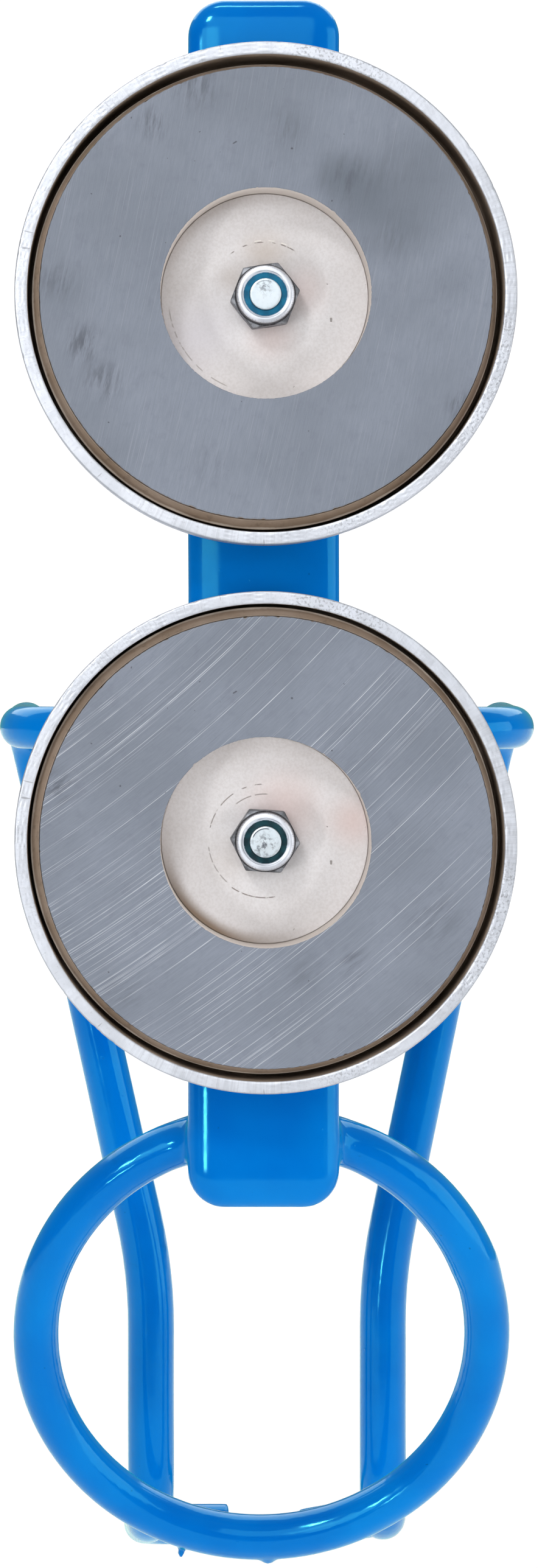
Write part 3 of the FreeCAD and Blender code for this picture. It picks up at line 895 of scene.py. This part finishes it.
def lock_nut(which, z, paint):
    """The nut: a chamfered hexagon, a collar rolled over in front, and a pocket for the nylon."""
    front, back = NUT_LOW[1], NUT_HIGH[1]
    low, x, y, height = round_axis(front, back, NUT_VOXEL)
    radius = np.hypot(x, height)
    body = coned_hexagon(x, y, height, NUT_TURN[which], back - NUT_HEX_HEIGHT, back, True, True)
    ring_r = (COLLAR_R + COLLAR_MOUTH_R) / 2
    half_wall = (COLLAR_R - COLLAR_MOUTH_R) / 2
    over_r = np.abs(radius - ring_r)
    over_y = front + half_wall - y
    collar = np.where(over_y > 0, np.hypot(over_r, over_y), over_r + 0 * y) - half_wall
    collar = np.maximum(collar, y - back)
    core = np.maximum(radius - ring_r, np.maximum(INSERT_HIGH[1] - y, y - back))
    nut = soft_union(body, np.minimum(collar, core), 0.35)
    nut = soft_cut(nut, BOLT_R - radius + 0 * y, 0.1)
    pocket = np.maximum(INSERT_LOW[1] - y, y - INSERT_HIGH[1])
    pocket = np.maximum(radius - INSERT_HIGH[0], pocket)
    nut = np.maximum(nut, -pocket)
    nut = np.maximum(nut, np.maximum(front - y, y - back))
    points, faces = field_mesh(nut, low, NUT_VOXEL)
    points = np.clip(points, NUT_LOW, NUT_HIGH)
    piece = shaded_object(which + "_nut_rolled", points, faces, paint, z)
    stand_in_for(piece, "frame", "plated_fastener", which + "_lock_nut")


def bolt(which, z, paint):
    """The bolt: a hexagon head, a thread that runs out before it, and a reduced point."""
    tip, top = BOLT_LOW[1], BOLT_HIGH[1]
    seat = WASHER_HIGH[1]
    low, x, y, height = round_axis(tip, top, BOLT_VOXEL)
    radius = np.hypot(x, height)
    head = coned_hexagon(x, y, height, 0, seat, top, False, True)
    turn = np.arctan2(height, x) / (2 * math.pi)
    phase = (y / PITCH + turn) % 1
    groove = THREAD_DEPTH * (1 - np.abs(2 * phase - 1)) * ramp(y, seat - 4, seat - 5.5)
    shank = np.maximum(radius - BOLT_R + groove, y - seat)
    neck = radius - BOLT_R + POINT_STEP - np.maximum(0, y - tip - POINT_LENGTH)
    shank = soft_cut(np.maximum(shank, neck), tip - y + 0 * radius, 0.12)
    points, faces = field_mesh(soft_union(head, shank, 0.3), low, BOLT_VOXEL)
    points = np.clip(points, BOLT_LOW, BOLT_HIGH)
    piece = shaded_object(which + "_bolt_threaded", points, faces, paint, z)
    stand_in_for(piece, "frame", "plated_fastener", which + "_bolt")


def washer(which, z, paint):
    section = rounded_section([
        (WASHER_HIGH[0], WASHER_LOW[1], 0.35),
        (WASHER_HIGH[0], WASHER_HIGH[1], 0.15),
        (WASHER_HOLE_R, WASHER_HIGH[1], 0.15),
        (WASHER_HOLE_R, WASHER_LOW[1], 0.15),
    ], back_gap=0.7)
    piece = spun_ring(which + "_washer_pressed", section, FASTENER_SEGMENTS, paint, z)
    stand_in_for(piece, "frame", "plated_fastener", which + "_head_washer")


def insert(which, z, paint, slot):
    """The nut's nylon ring, whose lip leans in to the bolt's reduced point."""
    lip_r = BOLT_R - POINT_STEP + 0.06
    section = rounded_section([
        (INSERT_HIGH[0], INSERT_LOW[1], 0.1),
        (INSERT_HIGH[0], INSERT_HIGH[1], 0.1),
        (BOLT_R, INSERT_HIGH[1], 0.1),
        (BOLT_R, INSERT_LOW[1] + 0.7, 0.05),
        (lip_r, INSERT_LOW[1] + 0.3, 0.05),
        (lip_r, INSERT_LOW[1], 0.1),
    ], front_gap=0.2)
    piece = spun_ring(which + "_nylon_lip", section, FASTENER_SEGMENTS, paint, z)
    stand_in_for(piece, "frame", slot, which + "_nylon_insert")


# --- studio, in metres ---------------------------------------------------------------------
CAMERA_PLACE = (-0.01496, -0.600, -0.05406)
CAMERA_LENS = 86.7
CAMERA_SENSOR = 36
CAMERA_SHIFT = (0.0620, -0.0963)
CAMERA_RANGE = 30
BACKDROP = 1.1
DOME_BEHIND = (-0.25, 0.45, 0.08, 0.18)
DOME_ABOVE = (0.25, 0.8, 0.0, 0.20)
FLOOR_GAP = 0.06
FLOOR_SIZE = 4.8
FLOOR_FRONT = 0.42


def studio_world():
    """A white backdrop to the camera, and a dim dome to all else, brighter above and behind.

    Each part of the dome runs between two directions' Y or Z, from one strength to another.
    """
    world = bpy.data.worlds.new("studio")
    bpy.context.scene.world = world
    world.use_nodes = True
    tree = world.node_tree
    place = tree.nodes.new("ShaderNodeTexCoord")
    split = tree.nodes.new("ShaderNodeSeparateXYZ")
    tree.links.new(place.outputs["Generated"], split.inputs[0])
    parts = []
    for axis, numbers in (("Y", DOME_BEHIND), ("Z", DOME_ABOVE)):
        fade = tree.nodes.new("ShaderNodeMapRange")
        fade.interpolation_type = "SMOOTHSTEP"
        for socket, number in zip(fade.inputs[1:], numbers):
            socket.default_value = number
        tree.links.new(split.outputs[axis], fade.inputs[0])
        parts.append(fade.outputs[0])
    dome = tree.nodes.new("ShaderNodeMath")
    dome.operation = "ADD"
    for socket, part in zip(dome.inputs, parts):
        tree.links.new(part, socket)
    rays = tree.nodes.new("ShaderNodeLightPath")
    pick = tree.nodes.new("ShaderNodeMix")
    share, others_see, camera_sees = (pick.inputs[index] for index in (0, 2, 3))
    tree.links.new(rays.outputs["Is Camera Ray"], share)
    tree.links.new(dome.outputs[0], others_see)
    camera_sees.default_value = BACKDROP
    tree.links.new(pick.outputs[0], tree.nodes["Background"].inputs["Strength"])
    tree.nodes["Background"].inputs["Color"].default_value = (1, 1, 1, 1)


def softbox(name, place, aim, size, radiance, lights=True, mirrors=True):
    """An area light of a given radiance, so its size doesn't change how bright its mirror image is.

    lights says whether it lights matt surfaces, and mirrors whether glossy ones show it.
    """
    light = bpy.data.lights.new(name, "AREA")
    light.shape = "RECTANGLE"
    light.size, light.size_y = size
    light.energy = radiance * math.pi * size[0] * size[1]
    lamp = bpy.data.objects.new(name, light)
    lamp.location = place
    lamp.rotation_euler = (Vector(aim) - Vector(place)).to_track_quat("-Z", "Y").to_euler()
    lamp.visible_camera = False
    lamp.visible_diffuse = lights
    lamp.visible_glossy = mirrors
    bpy.context.scene.collection.objects.link(lamp)


def studio_lights():
    middle = (0, 0.03, -0.08)
    softbox("card_left", (-0.48, -1.20, 0.20), middle, (0.60, 0.55), 3.1)
    softbox("card_right", (1.10, -0.50, 0.0), middle, (1.0, 1.0), 2.3)
    softbox("key_low", (-0.92, -1.0, -0.36), middle, (0.13, 0.34), 24, mirrors=False)
    softbox("glint_left", (-0.80, -1.03, 0.16), middle, (0.12, 0.13), 70, lights=False)
    softbox("glint_low", (-0.60, -1.17, -0.31), middle, (0.10, 0.03), 90, lights=False)
    softbox("key_high", (-0.45, -1.0, 0.75), middle, (0.20, 0.20), 24, mirrors=False)
    softbox("glint_high", (-0.46, -0.90, 0.72), middle, (0.14, 0.14), 110, lights=False)
    softbox("fill_above", (-0.10, -1.20, 0.50), middle, (0.95, 0.60), 1.6)
    softbox("overhead", (-0.12, -0.33, 1.05), middle, (0.34, 0.10), 24)
    softbox("low_right", (0.72, -0.95, -0.30), middle, (0.16, 0.20), 10, mirrors=False)
    softbox("floor_wash", (0, 3.0, 2.4), (0, 3.0, CAD_LOW[2]), (6.0, 4.4), 2.2)


def studio_floor():
    build = bmesh.new()
    bmesh.ops.create_grid(build, x_segments=8, y_segments=8, size=FLOOR_SIZE / 2)
    mesh = bpy.data.meshes.new("floor")
    build.to_mesh(mesh)
    build.free()
    paint = Paint("floor_paper")
    tone = paint.mix(paint.noise(3, 3), (0.93, 0.93, 0.93), (0.96, 0.96, 0.96))
    paint.set(Base_Color=tone, Roughness=0.9)
    mesh.materials.append(paint.material)
    floor = bpy.data.objects.new("floor", mesh)
    floor.location = (0, FLOOR_SIZE / 2 - FLOOR_FRONT, CAD_LOW[2] - FLOOR_GAP)
    bpy.context.scene.collection.objects.link(floor)


def studio_camera():
    camera = bpy.data.cameras.new("camera")
    camera.lens = CAMERA_LENS
    camera.sensor_width = CAMERA_SENSOR
    camera.shift_x, camera.shift_y = CAMERA_SHIFT
    camera.clip_end = CAMERA_RANGE
    holder = bpy.data.objects.new("camera", camera)
    holder.location = CAMERA_PLACE
    holder.rotation_euler = (math.radians(90), 0, 0)
    bpy.context.scene.collection.objects.link(holder)
    bpy.context.scene.camera = holder


# --- build ---------------------------------------------------------------------------------

def repaint(name, material):
    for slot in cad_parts[name].material_slots:
        slot.material = material


# Marks are placed on a magnet's face in millimetres from its bolt, and share is their strength.
# A shadow, scuff, tint, smudge or painted edge shade is (x, z, radius, share), a mark or arc is
# (radius, first angle, last angle, share), and a tint or mark also has its colour.  The plug's
# tints round its nut are partly painted shade.  centre is the middle of the grinding arcs, and
# line_run sets how often a ground line breaks along its length.
FERRITE_LOOK = {
    "upper": dict(
        centre=(-880, 187), line_tone=srgb(166, 171, 182), line_share=0.25, line_run=30,
        shadows=((15, 16, 9, 0.6), (22, 11, 9, 0.45), (11, 19, 6, 0.45), (24, 20, 9, 0.35),
                 (5, 25, 7, 0.2), (30, 2, 6, 0.2), (-31, 0, 8, 0.15)),
        scuffs=((13, 18, 6, 0.5), (19, 20, 7, 0.2), (20, 9, 6, 0.3), (-11, 33, 6, 0.6),
                (-18, 27, 4, 0.7), (-29, -8, 5, 0.8), (-26, -14, 5, 0.7), (-33, 2, 5, 0.5),
                (31, -18, 4, 0.7), (-9, -27, 6, 0.25), (3, 26, 5, 0.35))),
    "lower": dict(
        centre=(-167, 199), line_tone=srgb(214, 218, 226), line_share=0.6, line_run=6,
        shadows=((20, -2, 12, 0.10), (-14, -26, 12, 0.12), (26, 12, 9, 0.12)),
        scuffs=((27, -12, 8, 0.35), (13, 15, 6, 0.2), (-22, -23, 6, 0.3), (-33, 9, 4, 0.8),
                (6, -21, 5, 0.3), (14, -19, 4, 0.5))),
}
# Plug tints: tan and pink stains, which near the nut are partly painted shade.
PINK = srgb(222, 192, 186)
TAN_STAIN_AND_SHADE = srgb(186, 168, 150)
DARK_MARK = srgb(120, 110, 104)
LIGHT_MARK = srgb(240, 236, 230)
PLUG_LOOK = {
    "upper": dict(
        marks=((8.9, 55, 130, 0.9, DARK_MARK), (9.15, 60, 110, 0.8, LIGHT_MARK),
               (15.5, -175, -110, 0.5, DARK_MARK)),
        tints=((0, 7, 6, 0.45, TAN_STAIN_AND_SHADE), (-5, 3, 4, 0.3, TAN_STAIN_AND_SHADE), (6, 1, 6, 0.35, PINK),
               (1, -6, 6, 0.4, PINK), (-11, -6, 9, 0.5, srgb(216, 214, 224))),
        grime_and_shade=(-8, 12, 19, 0.35)),
    "lower": dict(
        marks=((9.0, 88, 178, 0.8, DARK_MARK), (9.1, -178, -130, 0.6, DARK_MARK),
               (9.3, -128, -72, 0.9, DARK_MARK), (7.4, 85, 130, 0.7, DARK_MARK)),
        tints=((3, 5, 9, 0.5, PINK), (14, 3, 6, 0.5, PINK), (-5, -3, 6, 0.2, TAN_STAIN_AND_SHADE)),
        grime_and_shade=(-9, -12, 19, 1.1)),
}
BOLT_LOOK = {
    "upper": dict(smudge=(-0.2, 1.3, 2.2, 0.75), arc=(2.1, 60, 140, 0.5)),
    "lower": dict(smudge=(-0.2, -0.6, 3.2, 1.0), arc=(2.15, 70, 165, 1.0)),
}
NYLON_LOOK = {
    "upper": dict(name="blue_nylon", light=srgb(0, 106, 142), dark=srgb(0, 86, 120)),
    "lower": dict(name="teal_nylon", light=srgb(20, 62, 70), dark=srgb(12, 40, 48)),
}

dipped_skin(vinyl_paint())
hidden_steel = steel_paint("bare_steel", srgb(172, 172, 174), srgb(140, 139, 140), 0.36)
hidden_weld = steel_paint("weld_metal", srgb(150, 146, 142), srgb(96, 92, 92), 0.48)
for node in ("mounting_strip", "ring_rod", "cage_rod"):
    repaint(node, hidden_steel)
for node in ("ring_weld_beads", "cage_weld_beads"):
    repaint(node, hidden_weld)

washer_zinc = washer_paint("plated_fastener")
nut_zinc = nut_paint("plated_nut")
cup_metal = cup_paint("plated_cup")
resin = resin_paint("potting_resin")
for which in MAGNETS:
    rng = np.random.default_rng(MAGNET_SEED[which])
    z = magnet_z(which)
    pot_cup(which, z, cup_metal, rng)
    ferrite(which, z, ferrite_paint(which + "_ferrite", **FERRITE_LOOK[which]), rng)
    potting(which, z, resin, rng)
    plug(which, z, plug_paint(which + "_cream_plastic", **PLUG_LOOK[which]), rng)
    lock_nut(which, z, nut_zinc)
    bolt(which, z, bolt_paint(which + "_plated_bolt", **BOLT_LOOK[which]))
    washer(which, z, washer_zinc)
    insert(which, z, nylon_paint(**NYLON_LOOK[which]), NYLON_LOOK[which]["name"])

studio_world()
studio_lights()
studio_floor()
studio_camera()
bpy.context.scene.view_settings.view_transform = "Standard"
